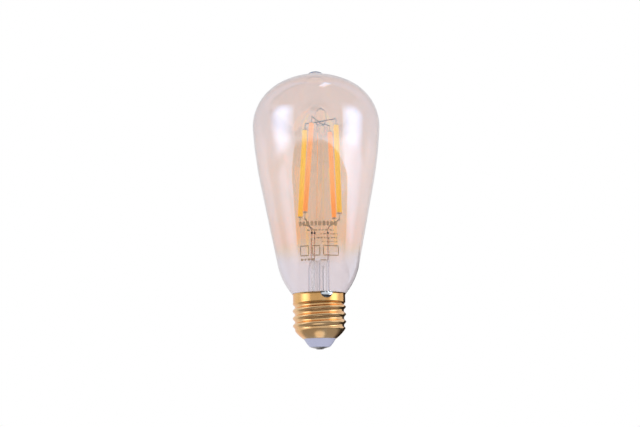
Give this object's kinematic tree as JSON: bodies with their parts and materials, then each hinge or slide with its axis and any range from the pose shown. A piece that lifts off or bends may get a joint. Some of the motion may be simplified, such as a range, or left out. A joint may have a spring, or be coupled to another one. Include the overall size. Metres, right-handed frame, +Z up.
{
  "type": "smart light bulb",
  "caption": "Tear-shaped amber filament lamp with an Edison screw cap, glass mount with warm and cool LED filaments, and a radio-controlled driver inside the cap.",
  "frame": {"origin": "centre of the contact's flat underside, on the lamp's axis", "axes": "+Z up the axis from the contact to the glass tip; -Y is the front, where the rim's solder joint is; +X is right"},
  "size_m": [0.0644, 0.0644, 0.1414],
  "materials": {
    "amber_glass": "amber-lustred clear glass, glossy, fading to clear above the cap",
    "clear_glass": "clear glass, glossy",
    "nickel_wire": "drawn nickel, semi-bright",
    "weld_metal": "dark weld bead",
    "warm_phosphor": "orange phosphor silicone, satin",
    "cool_phosphor": "yellow phosphor silicone, satin",
    "carrier_ceramic": "white alumina",
    "led_die": "gallium nitride die, glossy",
    "pin_metal": "stamped, tin plated",
    "cap_brass": "gold-lacquered brass, satin with bright crests",
    "insulator_plastic": "smooth white, slightly lavender",
    "contact_metal": "nickel plated",
    "solder": "bright solder",
    "cement": "matte lamp cement",
    "sleeve_film": "polyester film",
    "board_laminate": "green solder mask",
    "chip_package": "black moulding compound with tinned legs",
    "capacitor_sleeve": "shrink sleeve over an aluminium can",
    "ferrite": "dull grey ferrite",
    "copper_winding": "enamelled copper wire",
    "resistor_coat": "green flameproof coating with tinned leads",
    "chip_ceramic": "tan ceramic",
    "terminal_gold": "gold-plated contacts",
    "radio_laminate": "blue solder mask",
    "shield_tin": "tin-plated sheet",
    "antenna_jacket": "dark insulation",
    "live_jacket": "red insulation",
    "print_ink": "thin baked ink, matte",
    "tinned_wire": "tinned copper"
  },
  "bodies": {
    "root": {"glass_envelope": "amber_glass", "stem_tube": "clear_glass", "exhaust_tube": "clear_glass", "glass_rod": "clear_glass", "common_lead": "nickel_wire", "warm_lead": "nickel_wire", "cool_lead": "nickel_wire", "lead_welds": "weld_metal", "right_cross_wire": "nickel_wire", "cool_bridge_wire": "nickel_wire", "warm_bridge_wire": "nickel_wire", "cap_shell": "cap_brass", "cap_insulator": "insulator_plastic", "centre_contact": "contact_metal", "tip_solder": "solder", "side_solder": "solder", "basing_cement": "cement", "insulating_sleeve": "sleeve_film", "driver_board": "board_laminate", "bridge_rectifier": "chip_package", "bulk_capacitor": "capacitor_sleeve", "inductor_core": "ferrite", "inductor_winding": "copper_winding", "fusible_resistor": "resistor_coat", "control_chip": "chip_package", "channel_switches": "chip_package", "chip_resistors": "chip_package", "chip_capacitors": "chip_ceramic", "lead_terminals": "terminal_gold", "radio_board": "radio_laminate", "radio_chip": "chip_package", "radio_crystal": "shield_tin", "radio_shield": "shield_tin", "radio_pins": "terminal_gold", "antenna_wire": "antenna_jacket", "live_wire": "live_jacket", "neutral_wire": "tinned_wire", "warm_left_coating": "warm_phosphor", "warm_left_carrier": "carrier_ceramic", "warm_left_chips": "led_die", "warm_left_pins": "pin_metal", "warm_right_coating": "warm_phosphor", "warm_right_carrier": "carrier_ceramic", "warm_right_chips": "led_die", "warm_right_pins": "pin_metal", "cool_left_coating": "cool_phosphor", "cool_left_carrier": "carrier_ceramic", "cool_left_chips": "led_die", "cool_left_pins": "pin_metal", "cool_right_coating": "cool_phosphor", "cool_right_carrier": "carrier_ceramic", "cool_right_chips": "led_die", "cool_right_pins": "pin_metal"}
  },
  "joints": []
}
